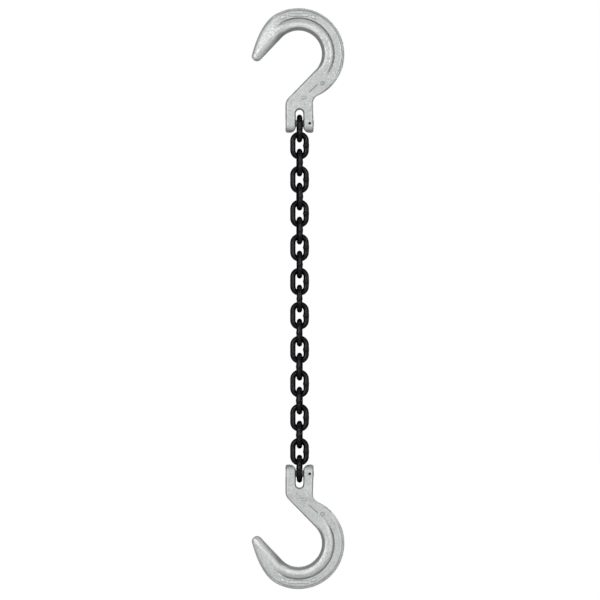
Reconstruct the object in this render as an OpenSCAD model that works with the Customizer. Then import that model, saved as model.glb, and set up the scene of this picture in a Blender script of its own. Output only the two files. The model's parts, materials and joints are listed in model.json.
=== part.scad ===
// Single-leg chain sling: a clevis foundry hook at each end of a short length of alloy chain.
// Millimetres, +Z up. The sling hangs straight, and the origin is on the load line, at the
// place in the upper hook's bowl where that hook rests on what carries it.

/* [Chain] */
// Diameter of the round bar that the links are bent from
wire_d = 7.1; // [6:0.1:8]
// Inside length of a link
link_inner_l = 22.2; // [20:0.1:30]
// Inside width of a link
link_inner_w = 10.2; // [9.4:0.1:13]
// Number of links, odd so that the link in each clevis lies edge-on
link_count = 21; // [3:2:21]
// Running gap where a link hangs on the next link or on a load pin
hang_gap = 0.2; // [0.1:0.05:0.4]
// Length of the weld collar on one bar of each link
weld_l = 6.4; // [4:0.2:9]
// Height of the weld collar over the bar
weld_rise = 0.4; // [0.2:0.05:0.8]
// How far the chain's lay turns its links at most, in degrees
lay_turn = 5.5; // [0:0.5:8]

/* [Hook bowl] */
// Inside radius of the bowl
bowl_r = 30.5; // [26:0.5:36]
// Width of the bowl's section, from the inner edge to the outer edge
bowl_w = 28.8; // [25:0.1:34]
// Height of the bowl's centre over the load pin
bowl_height = 90; // [82:0.5:104]
// How far the bowl's centre lies off the load line, away from the throat when positive
bowl_shift = -1.4; // [-3:0.1:3]
// Thickness of the round bead along the inside of the bowl
bead_t = 18; // [16:0.2:21]
// Thickness of the web between the bead and the rim
web_t = 12.2; // [10:0.2:14]
// Width of the rim that runs round the outside of the web
rim_w = 2.8; // [2:0.1:4]
// Depth of the crease on each side of the web
crease_d = 0.35; // [0.2:0.05:0.6]

/* [Hook point] */
// Slope of the straight face on the throat side of the point
throat_slope = 46.4; // [42:0.2:50]
// Length of that face, from the end of the bowl to the centre of the nose
point_l = 39.2; // [34:0.2:44]
// Radius of the nose, seen from the front
nose_r = 6.5; // [5.5:0.1:8]
// Thickness of the point at the nose
nose_t = 11; // [9:0.2:13]
// Place on the outer circle where the back of the point leaves it
back_angle = 118.8; // [112:0.2:124]
// Angle between the back of the point and the throat face, at the nose
point_lean = 28.4; // [24:0.2:32]

/* [Hook shank] */
// Slope of the shank's inner edge
shank_slope = 45.7; // [42:0.1:50]
// Thickness of the shank
shank_t = 16; // [14:0.2:18]
// Radius of the bend where the shank leaves the clevis
bend_r = 14; // [11:0.5:18]
// Radius of the hollow between the clevis and the back of the hook
neck_r = 11; // [6:0.2:14]
// How much narrower the clevis is at that hollow than at its ears
waist = 0.9; // [0:0.1:1.6]
// Radius of the forged edges
edge_r = 2.4; // [1.6:0.1:3.4]
// Draft of the forged sides towards the parting line
draft = 0.3; // [0.1:0.05:0.6]

/* [Clevis] */
// Thickness of the clevis
clevis_t = 18; // [16:0.2:20]
// Width of each ear beside the slot
ear_w = 13.25; // [11:0.05:16]
// Length of the ears past the centre of the load pin
ear_below = 12; // [11:0.1:13.5]
// Play of the end link in the slot, on each side
slot_play = 1.3; // [1:0.05:2]
// Bevel along the slot's edges, on the front and the rear
slot_bevel = 1.4; // [0.8:0.1:2]
// Room between the end link and the closed end of the slot
slot_room = 6.1; // [5:0.1:8]
// Rounding of the slot's mouth
mouth_r = 8.2; // [7:0.1:9.2]
// Rounding of the ears' outer corners
corner_r = 3; // [2:0.1:4]

/* [Pins] */
// Diameter of the load pin
pin_d = 9; // [8:0.1:10]
// Clearance round the load pin in its bore
pin_fit = 0.1; // [0.05:0.05:0.2]
// How far the load pin stands out of the ear that holds the retaining pin
pin_proud = 0.4; // [0.2:0.1:1]
// Chamfer on the ends of the load pin
pin_chamfer = 0.6; // [0.3:0.1:1]
// Distance from the slot's wall to the retaining pin
keeper_in = 8.4; // [7:0.1:9.6]
// Diameter of the rolled retaining pin
keeper_d = 3.2; // [2.6:0.1:3.8]
// Wall of the rolled retaining pin
keeper_wall = 0.7; // [0.5:0.05:0.9]
// Width of the slit along the rolled retaining pin
keeper_slit = 0.5; // [0.3:0.05:0.8]
// Clearance round the retaining pin in its hole
keeper_fit = 0.05; // [0.05:0.05:0.15]
// How deep the retaining pin lies below each face of the ear
keeper_sunk = 0.8; // [0.4:0.1:1.6]

/* [Hidden] */
// Smoothness of the true round surfaces
$fn = 64;
// How far a cutting shape runs past the metal
past = 2;

// Links: centreline radius of the crowns, half-length of the straight bars, and the spacing
crown_r = (link_inner_w + wire_d) / 2;
bar_half = (link_inner_l + wire_d) / 2 - crown_r;
link_step = link_inner_l - hang_gap;
// From the load pin's centre to the centre of the link that hangs on it
pin_to_link = link_inner_l / 2 - pin_d / 2 - hang_gap;

// Heights along the load line
upper_pin_z = -bowl_r - bowl_height;
lower_pin_z = upper_pin_z - 2 * pin_to_link - (link_count - 1) * link_step;
function link_z(k) = upper_pin_z - pin_to_link - (k - 1) * link_step;
// The chain hangs with a slow wave of turn, one way above its middle and the other way below it
lay_links = 12;
function link_turn(k) = lay_turn * sin(180 * ((link_count + 1) / 2 - k) / lay_links);

// Clevis, in the hook's own frame: load pin at the origin, bowl above it
slot_r = wire_d / 2 + slot_play;
slot_top = pin_d / 2 + hang_gap + wire_d + slot_room;
clevis_half = slot_r + ear_w;
ear_r = clevis_t / 2;
ear_mid_z = ear_r - ear_below;
keeper_x = slot_r + keeper_in;
keeper_l = clevis_t - 2 * keeper_sunk;

// Bowl, in the plane of the hook
outer_r = bowl_r + bowl_w;
bowl_c = [bowl_shift, bowl_height];
bead_r = bead_t / 2;
web_h = web_t / 2;
bowl_start = shank_slope - 90;
bowl_end = throat_slope + 90;

// Vectors in the plane of the hook
function dir(a) = [cos(a), sin(a)];
function on_circle(c, r, a) = c + r * dir(a);
function mix(a, b, f) = a + (b - a) * f;
function ease(f) = let (g = min(1, max(0, f))) g * g * (3 - 2 * g);
function cross2(a, b) = a[0] * b[1] - a[1] * b[0];
// Where the line from p along u meets the line from q along v
function meet(p, u, q, v) = p + u * cross2(q - p, v) / cross2(u, v);

// Shank: its inner edge is tangent to the bowl, and the bend rounds it into the clevis
shank_end = on_circle(bowl_c, bowl_r, bowl_start);
shank_side = dir(shank_slope + 90);
bend_x = bend_r - clevis_half;
bend_z = shank_end[1] - (bend_r + (bend_x - shank_end[0]) * shank_side[0]) / shank_side[1];
bend_c = [bend_x, bend_z];
shank_start = bend_c + bend_r * shank_side;

// Neck: a hollow that touches the clevis's right side and the outer circle
neck_x = clevis_half - waist + neck_r;
neck_z = bowl_height - sqrt(pow(outer_r + neck_r, 2) - pow(neck_x - bowl_shift, 2));
neck_c = [neck_x, neck_z];
neck_angle = atan2(neck_z - bowl_height, neck_x - bowl_shift);

// Point: a straight throat face, a round nose, and a back that curves from one to the other
throat_start = on_circle(bowl_c, bowl_r, bowl_end);
throat_dir = dir(bowl_end + 90);
nose_c = throat_start + throat_dir * point_l + dir(bowl_end) * nose_r;
nose_back = bowl_end + point_lean;
back_start = on_circle(bowl_c, outer_r, back_angle);
back_end = on_circle(nose_c, nose_r, nose_back);
back_bulge = meet(back_start, dir(back_angle + 90), back_end, dir(nose_back + 90));
function back_curve(t) =
    pow(1 - t, 2) * back_start + 2 * t * (1 - t) * back_bulge + t * t * back_end;
// The inner edge opposite it, first round the end of the bowl and then along the throat face
arc_l = bowl_r * (bowl_end - back_angle) * PI / 180;
function throat_curve(s) = s < arc_l
    ? on_circle(bowl_c, bowl_r, back_angle + (bowl_end - back_angle) * s / arc_l)
    : throat_start + throat_dir * (s - arc_l);

// Half sections of the forging, from the inner edge to the outer edge: [distance, half height].
// All three have 17 points, so that one can turn into the next.
// The flat section of the clevis and the shank has drafted sides and rounded edges
function slab_edge(e, h) = concat(
    [[0, 0]],
    [for (b = [0:30:90]) [draft + e * (1 - cos(b)), h - e * (1 - sin(b))]]
);
function slab_half(w, h) = let (e = min(edge_r, h / 2), edge = slab_edge(e, h)) concat(
    edge,
    [for (i = [1:7]) [mix(draft + e, w - draft - e, i / 8), h]],
    [for (i = [4:-1:0]) [w - edge[i][0], edge[i][1]]]
);
// The bowl's section has a bead along the inside, full towards the bowl and round towards
// the crease, then a flat web and a rim
bead_full = 2.5;
function bead_z(b) = bead_r * (b < 90 ? pow(1 - pow(cos(b), bead_full), 1 / bead_full) : sin(b));
crease_turn = 180 - asin(web_h / bead_r);
crease_q = bead_r * (1 - cos(crease_turn));
web_ends = [0.1, 0.93];
rim_swell = [0.4, 0.85];
function bowl_half(w) = concat(
    [for (i = [0:7]) let (b = i / 8 * crease_turn) [bead_r * (1 - cos(b)), bead_z(b)]],
    [[crease_q, web_h - crease_d]],
    [for (i = [0:3]) [mix(crease_q, w - rim_w, mix(web_ends[0], web_ends[1], i / 3)), web_h]],
    [[w - rim_w, web_h - crease_d]],
    [for (f = rim_swell) [w - rim_w * (1 - f), web_h * (1 - pow(f, 3) / 2)]],
    [[w, 0]]
);
// The point's section has a narrow face on the throat side and a broad one on the back, which
// meet in a soft ridge at the same distance from the inner edge as the top of the bead
ridge_q = 8.5;
ridge_share = 0.6;
ridge_soft = 1.6;
ridge_turn = 60;
throat_low = 0.3;
back_low = 0.42;
// Shares of the width and powers that round the section off at its two edges
inner_round = 0.2;
inner_power = 4;
outer_power = 8;
outer_root = 0.45;
function soft_min(a, b, r) = min(a, b) - pow(max(0, r - abs(a - b)), 2) / (4 * r);
function throat_edge(t) = sqrt(1 - pow(max(0, 1 - t / inner_round), inner_power));
function back_edge(t) = pow(1 - pow(max(0, t), outer_power), outer_root);
function point_z(t, m, h) = let (back = (t - m) / (1 - m)) throat_edge(t) * back_edge(back)
    * soft_min(h * mix(throat_low, 1, t / m), h * (1 - back_low * back), min(ridge_soft, h));
function point_half(w, h) = let (m = min(ridge_share, ridge_q / w), ts = concat(
    [for (i = [0:5]) m * (1 - cos(i / 6 * ridge_turn)) / (1 - cos(ridge_turn))],
    [for (i = [0:10]) mix(m, 1, sin(i * 9))]
)) [for (t = ts) [w * t, point_z(t, m, h)]];

// One station of the forging: the ends of its section, and the half section between them
function station(inner, outer, half) = [inner, outer, half];
function slab_station(inner, outer, h) = station(inner, outer, slab_half(norm(outer - inner), h));
// Angles of the bowl between which its section grows out of the flat shank, and between which
// it turns into the point's section
swell_from = -52;
swell_to = -12;
taper_from = 104;
taper_to = 140;
function bowl_share(a) = ease((a - swell_from) / (swell_to - swell_from));
function point_share(a) = ease((a - taper_from) / (taper_to - taper_from));
function bowl_station(inner, outer, a, h) = let (w = norm(outer - inner)) station(
    inner, outer, mix(slab_half(w, h), bowl_half(w), bowl_share(a))
);
function point_station(inner, outer, share, h) = let (w = norm(outer - inner)) station(
    inner, outer, mix(bowl_half(w), point_half(w, h), share)
);

// Outer corners of the ears, rounded in the plane of the hook
function corner_inset(z) = let (rise = corner_r - ear_below - z)
    rise <= 0 ? 0 : corner_r - sqrt(max(0, corner_r * corner_r - rise * rise));

ear_steps = 6;
ear_stations = [
    for (i = [1:ear_steps]) let (a = 90 * (1 - (i - 0.6) / ear_steps), z = ear_mid_z - ear_r * sin(a))
        let (x = clevis_half - corner_inset(z))
            slab_station([-x, z], [x, z], ear_r * cos(a))
];
clevis_steps = 5;
clevis_stations = [
    for (i = [0:clevis_steps]) let (f = i / clevis_steps)
        slab_station(
            [-clevis_half, mix(ear_mid_z, bend_z, f)],
            [clevis_half - waist * ease(f), mix(ear_mid_z, neck_z, f)],
            ear_r
        )
];
// Thickness where the bend ends, most of the way from the clevis's to the shank's
thinned = 0.7;
bend_t = mix(clevis_t, shank_t, thinned);
bend_steps = 6;
bend_stations = [
    for (i = [1:bend_steps]) let (f = i / bend_steps)
        slab_station(
            on_circle(bend_c, bend_r, 180 - f * (90 - shank_slope)),
            on_circle(neck_c, neck_r, 180 + f * neck_angle),
            mix(clevis_t, bend_t, ease(f)) / 2
        )
];
// The shank comes down to its own thickness this many times faster than it runs on
shank_steps = 6;
settle = 3;
shank_stations = [
    for (i = [1:shank_steps - 1]) let (f = i / shank_steps, a = mix(neck_angle, bowl_start, f))
        let (inner = mix(shank_start, shank_end, f), outer = on_circle(bowl_c, outer_r, a))
            bowl_station(inner, outer, a, mix(bend_t, shank_t, ease(settle * f)) / 2)
];
bowl_steps = 30;
bowl_stations = [
    for (i = [0:bowl_steps]) let (a = mix(bowl_start, back_angle, i / bowl_steps))
        let (inner = on_circle(bowl_c, bowl_r, a), outer = on_circle(bowl_c, outer_r, a))
            a < taper_from
                ? bowl_station(inner, outer, a, shank_t / 2)
                : point_station(inner, outer, point_share(a), bead_r)
];
// The stations of the point and the nose lie closer together where they curve most
point_steps = 10;
point_crowd = 1.3;
nose_crowd = 1.2;
point_stations = [
    for (i = [1:point_steps]) let (t = i / point_steps, g = pow(t, point_crowd))
        let (s = g * (arc_l + point_l), a = back_angle + s / bowl_r * 180 / PI)
            point_station(
                throat_curve(s), back_curve(t), point_share(a), mix(bead_r, nose_t / 2, g)
            )
];
nose_steps = 7;
nose_stations = [
    for (i = [1:nose_steps - 1]) let (f = 1 - pow(1 - i / nose_steps, nose_crowd))
        point_station(
            on_circle(nose_c, nose_r, bowl_end + 180 - 90 * f),
            on_circle(nose_c, nose_r, mix(nose_back, bowl_end + 90, f)),
            1,
            nose_t / 2 * cos(90 * f)
        )
];
nose_tip = on_circle(nose_c, nose_r, bowl_end + 90);
hook_stations = concat(
    ear_stations, clevis_stations, bend_stations, shank_stations,
    bowl_stations, point_stations, nose_stations
);

// The closed ring of points round one station: out along the front and back along the rear
function in_space(p, y) = [p[0], y, p[1]];
function ring(s) = let (u = (s[1] - s[0]) / norm(s[1] - s[0]), half = s[2], n = len(half)) concat(
    [for (i = [0:n - 1]) in_space(s[0] + u * half[i][0], -half[i][1])],
    [for (i = [n - 2:-1:1]) in_space(s[0] + u * half[i][0], half[i][1])]
);

// A skin over all stations, flat at the clevis end and drawn to a tip at the nose
module skin(stations, tip) {
    n = len(stations[0][2]);
    ring_n = 2 * n - 2;
    last = (len(stations) - 1) * ring_n;
    points = concat([for (s = stations) each ring(s)], [in_space(tip, 0)]);
    walls = [
        for (j = [0:len(stations) - 2], i = [0:ring_n - 1])
            let (a = j * ring_n + i, b = j * ring_n + (i + 1) % ring_n)
            each [[a, a + ring_n, b + ring_n], [a, b + ring_n, b]]
    ];
    end_cap = [
        for (i = [0:n - 2])
            let (back = (ring_n - i) % ring_n)
            i == 0 ? [0, 1, back + ring_n - 1] : (
                i == n - 2 ? [i, i + 1, back] : [i, i + 1, back - 1, back]
            )
    ];
    tip_fan = [for (i = [0:ring_n - 1]) [last + i, len(points) - 1, last + (i + 1) % ring_n]];
    polyhedron(points = points, faces = concat(walls, end_cap, tip_fan), convexity = 8);
}

// Outline of the clevis slot: a round closed end, straight sides and a rounded mouth
module slot_outline() {
    translate([0, slot_top - slot_r]) circle(r = slot_r);
    translate([-slot_r, -ear_below - past]) square([2 * slot_r, slot_top - slot_r + ear_below + past]);
    for (side = [-1, 1])
        difference() {
            translate([side * (slot_r + mouth_r / 2), (mouth_r - past) / 2 - ear_below])
                square([mouth_r, mouth_r + past], center = true);
            translate([side * (slot_r + mouth_r), mouth_r - ear_below]) circle(r = mouth_r);
        }
}

// What the bevel takes off one edge of the slot: a wedge in the section across that edge
module bevel_section() {
    polygon([
        [0, -slot_bevel], [past, -slot_bevel - past], [past, past], [-slot_bevel - past, past],
        [-slot_bevel, 0]
    ]);
}

// The bevel round the slot on the front, along its closed end, its sides and its mouth
module slot_bevels() {
    closed_z = slot_top - slot_r;
    open_z = mouth_r - ear_below;
    translate([0, -ear_r, closed_z]) rotate([90, 0, 0]) rotate_extrude(angle = 180)
        translate([slot_r, 0]) mirror([1, 0]) bevel_section();
    for (side = [0, 1])
        mirror([side, 0, 0]) {
            translate([slot_r, -ear_r, open_z]) rotate([0, 0, 180]) linear_extrude(closed_z - open_z)
                bevel_section();
            translate([slot_r + mouth_r, -ear_r, open_z]) rotate([90, 0, 0]) rotate([0, 0, 180])
                rotate_extrude(angle = 45) translate([mouth_r, 0]) bevel_section();
        }
}

// The forged hook in its own frame
module hook_forging() {
    difference() {
        skin(hook_stations, nose_tip);
        rotate([90, 0, 0])
            linear_extrude(height = clevis_t + 2 * past, center = true) slot_outline();
        rotate([0, 90, 0])
            cylinder(d = pin_d + 2 * pin_fit, h = 2 * (clevis_half + past), center = true);
        translate([keeper_x, 0, 0]) rotate([90, 0, 0])
            cylinder(d = keeper_d + 2 * keeper_fit, h = clevis_t + 2 * past, center = true);
        slot_bevels();
        rotate([0, 0, 180]) slot_bevels();
    }
}

// The load pin in the hook's frame, chamfered and cross-drilled for the retaining pin
module load_pin() {
    length = 2 * clevis_half + pin_proud;
    difference() {
        translate([-clevis_half, 0, 0]) rotate([0, 90, 0]) rotate_extrude()
            polygon([
                [0, 0], [pin_d / 2 - pin_chamfer, 0], [pin_d / 2, pin_chamfer],
                [pin_d / 2, length - pin_chamfer], [pin_d / 2 - pin_chamfer, length], [0, length]
            ]);
        translate([keeper_x, 0, 0]) rotate([90, 0, 0])
            cylinder(d = keeper_d + 2 * keeper_fit, h = pin_d + past, center = true);
    }
}

// The rolled retaining pin in the hook's frame, with its slit on the far side from the slot
module retaining_pin() {
    translate([keeper_x, 0, 0]) rotate([90, 0, 0])
        difference() {
            cylinder(d = keeper_d, h = keeper_l, center = true);
            cylinder(d = keeper_d - 2 * keeper_wall, h = keeper_l + past, center = true);
            translate([keeper_d / 2, 0, 0])
                cube([keeper_d, keeper_slit, keeper_l + past], center = true);
        }
}

// One bent and welded link round the origin, in the plane of X and Z
module link_body() {
    for (side = [-1, 1])
        translate([side * crown_r, 0, 0]) cylinder(d = wire_d, h = 2 * bar_half, center = true);
    for (end = [0, 180])
        rotate([0, end, 0]) translate([0, 0, bar_half]) rotate([90, 0, 0])
            rotate_extrude(angle = 180) translate([crown_r, 0]) circle(d = wire_d);
    translate([crown_r, 0, 0]) rotate_extrude()
        polygon([
            [0, -weld_l / 2], [wire_d / 2, -weld_l / 2], [wire_d / 2 + weld_rise, -weld_l / 4],
            [wire_d / 2 + weld_rise, weld_l / 4], [wire_d / 2, weld_l / 2], [0, weld_l / 2]
        ]);
}

// Places of the two hooks and what is pinned in them
module at_upper_pin() {
    translate([0, 0, upper_pin_z]) children();
}
module at_lower_pin() {
    translate([0, 0, lower_pin_z]) rotate([180, 0, 0]) children();
}

// Node names of the links, counted down from the upper hook
function link_name(k) = str("chain_link_", k < 10 ? "0" : "", k);

module upper_hook() {
    color("silver") at_upper_pin() hook_forging();
}
module upper_load_pin() {
    color("lightgray") at_upper_pin() load_pin();
}
module upper_retaining_pin() {
    color("dimgray") at_upper_pin() retaining_pin();
}
// Odd links lie edge-on with the weld in front, even links face-on with the weld on the right
module chain_link(k) {
    color("#1c1c1e") translate([0, 0, link_z(k)])
        rotate([0, 0, link_turn(k) - (k % 2 == 1 ? 90 : 0)]) link_body();
}
module lower_load_pin() {
    color("lightgray") at_lower_pin() load_pin();
}
module lower_retaining_pin() {
    color("dimgray") at_lower_pin() retaining_pin();
}
module lower_hook() {
    color("silver") at_lower_pin() hook_forging();
}

upper_hook();
upper_load_pin();
upper_retaining_pin();
for (k = [1:link_count])
    chain_link(k);
lower_load_pin();
lower_retaining_pin();
lower_hook();
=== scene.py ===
"""Looks of the single-leg chain sling: a forged foundry hook at each end of a black chain.

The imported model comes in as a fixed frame. The hooks, the links and the pins are built over
it as finer meshes with their own finishes, and each one rides on its CAD body.
"""

import json
import math

import bmesh
import bpy
import numpy as np
from mathutils import Matrix, Vector, noise

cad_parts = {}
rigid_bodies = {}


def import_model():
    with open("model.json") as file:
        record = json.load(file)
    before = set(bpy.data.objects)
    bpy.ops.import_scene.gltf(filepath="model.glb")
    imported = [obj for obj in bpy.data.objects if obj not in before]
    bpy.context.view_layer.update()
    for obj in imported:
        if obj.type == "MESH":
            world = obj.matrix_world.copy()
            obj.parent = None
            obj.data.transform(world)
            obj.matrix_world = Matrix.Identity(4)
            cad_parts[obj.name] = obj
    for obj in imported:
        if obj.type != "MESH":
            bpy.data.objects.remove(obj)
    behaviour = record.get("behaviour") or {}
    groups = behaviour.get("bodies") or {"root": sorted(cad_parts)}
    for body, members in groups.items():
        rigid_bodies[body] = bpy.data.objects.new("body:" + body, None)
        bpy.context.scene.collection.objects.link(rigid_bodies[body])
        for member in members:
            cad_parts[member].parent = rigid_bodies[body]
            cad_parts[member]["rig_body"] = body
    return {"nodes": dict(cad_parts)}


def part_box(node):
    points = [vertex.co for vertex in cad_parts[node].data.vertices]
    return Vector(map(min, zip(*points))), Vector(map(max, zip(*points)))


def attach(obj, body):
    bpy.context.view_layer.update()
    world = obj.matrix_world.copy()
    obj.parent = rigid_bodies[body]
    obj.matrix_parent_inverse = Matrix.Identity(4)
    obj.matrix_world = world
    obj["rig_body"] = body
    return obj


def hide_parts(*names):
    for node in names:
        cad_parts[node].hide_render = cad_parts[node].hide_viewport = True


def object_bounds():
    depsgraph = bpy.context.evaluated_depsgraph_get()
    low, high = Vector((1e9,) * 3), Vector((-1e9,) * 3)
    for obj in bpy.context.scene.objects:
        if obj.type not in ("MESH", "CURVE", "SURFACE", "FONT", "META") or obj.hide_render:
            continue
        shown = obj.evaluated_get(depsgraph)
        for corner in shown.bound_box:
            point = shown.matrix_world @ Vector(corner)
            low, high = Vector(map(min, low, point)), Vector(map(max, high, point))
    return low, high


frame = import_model()
CAD_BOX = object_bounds()

bl_info = {
    "name": "Single-Leg Chain Sling",
    "version": (1, 0, 0),
    "blender": (4, 5, 0),
    "location": "View3D > Sidebar > Sling",
    "description": "Builds the hooks, chain and pins of a chain sling over its CAD frame",
    "category": "Object",
}

MM = 0.001
QUARTER = math.pi / 2


# Properties


def number(name, text, value, **more):
    """A plain number property."""
    return bpy.props.FloatProperty(name=name, description=text, default=value, **more)


def length(name, text, size):
    """A length property, given in millimetres."""
    return number(name, text, size * MM, unit="LENGTH", precision=5)


def turn(name, text, degrees):
    """An angle property, given in degrees."""
    return number(name, text, math.radians(degrees), subtype="ANGLE")


def colour(name, text, value):
    """A linear colour property."""
    return bpy.props.FloatVectorProperty(
        name=name, description=text, default=value, min=0, max=1, size=3, subtype="COLOR"
    )


class SlingHookSizes(bpy.types.PropertyGroup):
    """Sizes of the forged hooks, as in the CAD source, with the fine detail added here"""

    bowl_radius: length("Bowl Radius", "Inside radius of the bowl", 30.5)
    bowl_width: length("Bowl Width", "Width of the bowl's section", 28.8)
    bowl_height: length("Bowl Height", "Height of the bowl's centre over the load pin", 90)
    bowl_shift: length("Bowl Shift", "Sideways place of the bowl's centre", -1.4)
    bead: length("Bead", "Thickness of the round bead inside the bowl", 18)
    web: length("Web", "Thickness of the web outside the bead", 12.2)
    rim: length("Rim", "Width of the rim round the web", 2.8)
    crease_depth: length("Crease Depth", "Depth of the groove beside the bead", 0.85)
    crease_reach: length("Crease Reach", "Half width of that groove", 0.55)
    crease_lip: length("Crease Lip", "Height of the lip beside that groove", 0.18)
    rim_line: length("Rim Line", "Depth of the line inside the rim", 0.75)
    throat_slope: turn("Throat Slope", "Slope of the straight face of the point", 46.4)
    point_length: length("Point Length", "Length of that face", 39.2)
    nose: length("Nose", "Radius of the nose seen from the front", 6.5)
    nose_thick: length("Nose Thickness", "Thickness of the point at the nose", 11)
    back_turn: turn("Back", "Where the back of the point leaves the outer circle", 118.8)
    point_lean: turn("Point Lean", "Angle between the point's back and its face", 28.4)
    shank_slope: turn("Shank Slope", "Slope of the shank's inner edge", 45.7)
    shank: length("Shank", "Thickness of the shank", 16)
    bend: length("Bend", "Radius of the bend over the clevis", 14)
    neck: length("Neck", "Radius of the hollow over the clevis", 11)
    waist: length("Waist", "How much narrower the clevis is at that hollow", 0.9)
    edge: length("Edge", "Radius of the forged edges", 2.4)
    draft: length("Draft", "Draft of the forged sides", 0.3)
    clevis: length("Clevis", "Thickness of the clevis", 18)
    ear_width: length("Ear Width", "Width of each ear beside the slot", 13.25)
    ear_length: length("Ear Length", "Length of the ears past the load pin", 12)
    ear_corner: length("Ear Corner", "Rounding of the ears' outer corners", 3)
    slot_half: length("Slot Half Width", "Half the width of the clevis slot", 4.85)
    slot_top: length("Slot Depth", "Height of the slot's closed end over the pin", 17.9)
    slot_round: length("Slot Rounding", "Rounding of the slot's edges", 1.9)
    mouth: length("Mouth", "Rounding of the slot's mouth", 8.2)
    flash: length("Flash", "Height of the trimmed flash on the parting line", 0.22)
    flash_half: length("Flash Half Width", "Half the width of that line", 0.75)
    unevenness: length("Unevenness", "How far the forged skin wavers", 0.09)
    mark_rise: length("Mark Rise", "Height of the blank raised marks", 0.9)


class SlingChainSizes(bpy.types.PropertyGroup):
    """Sizes of the links"""

    wire: length("Bar", "Diameter of the links' round bar", 7.1)
    inner_length: length("Inner Length", "Inside length of a link", 22.2)
    inner_width: length("Inner Width", "Inside width of a link", 10.2)
    weld_rise: length("Weld Rise", "Height of the weld swelling over the bar", 0.35)
    weld_inside: length("Weld Inside", "Height of that swelling inside the link", 0.95)
    weld_reach: length("Weld Reach", "Half length of the weld swelling", 2.6)
    weld_wander: length("Weld Wander", "How far a weld lies off the middle of its bar", 0.5)
    unevenness: length("Unevenness", "How far the bar's skin wavers", 0.04)
    lay_turn: turn("Lay", "How far the chain's lay turns its links at most", 5.5)
    lay_links: bpy.props.IntProperty(
        name="Lay Length", description="Links in half a wave of the lay", default=12
    )


class SlingPinSizes(bpy.types.PropertyGroup):
    """Sizes of the load pins and the coiled retaining pins"""

    load: length("Load Pin", "Diameter of the load pin", 9)
    load_fit: length("Load Pin Fit", "Clearance round the load pin", 0.1)
    load_proud: length("Proud", "How far the load pin stands out of one ear", 0.4)
    chamfer: length("Chamfer", "Chamfer on the load pin's ends", 0.6)
    centre_mark: length("Centre Mark", "Depth of the turning centre in each end", 0.7)
    keeper: length("Retaining Pin", "Diameter of the coiled retaining pin", 3.2)
    keeper_fit: length("Retaining Pin Fit", "Clearance round the retaining pin", 0.05)
    keeper_place: length("Retaining Pin Place", "Its distance from the load line", 13.25)
    keeper_strip: length("Strip", "Thickness of the strip that the pin is coiled from", 0.35)
    keeper_pitch: length("Coil Pitch", "From one turn of the strip to the next", 0.38)
    keeper_turns: number("Turns", "Turns of the strip in the pin", 3.1)
    keeper_sunk: length("Sunk", "Depth of the retaining pin below the ear's face", 0.8)


class SlingFinishes(bpy.types.PropertyGroup):
    """Colours and strengths of the finishes"""

    coat_light: colour("Coat Light", "Light tone of the hooks' coat", (0.515, 0.535, 0.53))
    coat_dark: colour("Coat Dark", "Dark tone of the hooks' coat", (0.27, 0.283, 0.279))
    # Burnish wear, and a painted highlight on the bead's crest and the point's ridge
    coat_rubbed_and_highlight: colour("Coat Rubbed and Highlight", "Burnish and painted highlight on the bead's crest and the point's ridge", (0.64, 0.65, 0.643))
    # Painted shade: this colour darkens the faces that turn away from the front, the creases and
    # the slot
    side_shade: colour("Side Shade", "Painted shade where the hooks turn away from the front", (0.165, 0.171, 0.164))
    chain_light: colour("Chain Light", "Light tone of the chain", (0.0115, 0.0115, 0.013))
    chain_dark: colour("Chain Dark", "Dark tone of the chain", (0.007, 0.007, 0.008))
    chain_rubbed: colour("Chain Rubbed", "Chain at its crowns", (0.065, 0.065, 0.068))
    steel_light: colour("Steel Light", "Light tone of the load pins", (0.22, 0.22, 0.225))
    steel_dark: colour("Steel Dark", "Dark tone of the load pins", (0.10, 0.10, 0.105))
    keeper_light: colour("Keeper Light", "Light tone of the coiled pins", (0.010, 0.010, 0.011))
    keeper_dark: colour("Keeper Dark", "Dark tone of the coiled pins", (0.003, 0.003, 0.003))
    rub: number("Rub", "How much rubbed places show", 0.5, min=0, max=1, subtype="FACTOR")


class SlingStage(bpy.types.PropertyGroup):
    """Light, floor and camera"""

    key: number("Key", "Strength of the key light", 1.25)
    fill: number("Fill", "Strength of the fill", 1.1)
    back: number("Back", "Strength of the back light", 1.1)
    top: number("Top", "Strength of the top light", 0.45)
    sky: number("Sky", "Light from all round", 0.17)
    floor_gap: length("Floor Gap", "Room between the lower hook and the floor", 70)
    lens: number("Lens", "Focal length in millimetres", 250, unit="CAMERA")
    view_height: length("View Height", "Height of the photograph's frame", 776.2)
    view_x: length("View X", "Sideways place of the view's centre", 0.6)
    view_z: length("View Z", "Height of the view's centre", -348.7)


# Shared shader node groups


def set_inputs(tree, node, values):
    """Gives each named input its value, or links it to the output that is given."""
    for name, value in values.items():
        if isinstance(value, bpy.types.NodeSocket):
            tree.links.new(value, node.inputs[name])
        else:
            node.inputs[name].default_value = value


def add_node(tree, kind, values, out=0, **settings):
    """A shader node with its settings and inputs. Gives its output of that name or number."""
    node = tree.nodes.new("ShaderNode" + kind)
    for name, value in settings.items():
        setattr(node, name, value)
    set_inputs(tree, node, values)
    return node.outputs[out]


def maths(tree, operation, first, second, **settings):
    """A Math node on two values."""
    return add_node(tree, "Math", {0: first, 1: second}, operation=operation, **settings)


def blended(tree, share, first, second):
    """A Mix node between two values."""
    return add_node(tree, "Mix", {0: share, 2: first, 3: second})


def blended_colour(tree, share, first, second):
    """A Mix node between two colours."""
    return add_node(tree, "Mix", {0: share, 6: first, 7: second}, out=2, data_type="RGBA")


def here(tree):
    """The place on the piece, in metres."""
    return add_node(tree, "TexCoord", {}, out="Object")


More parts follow.
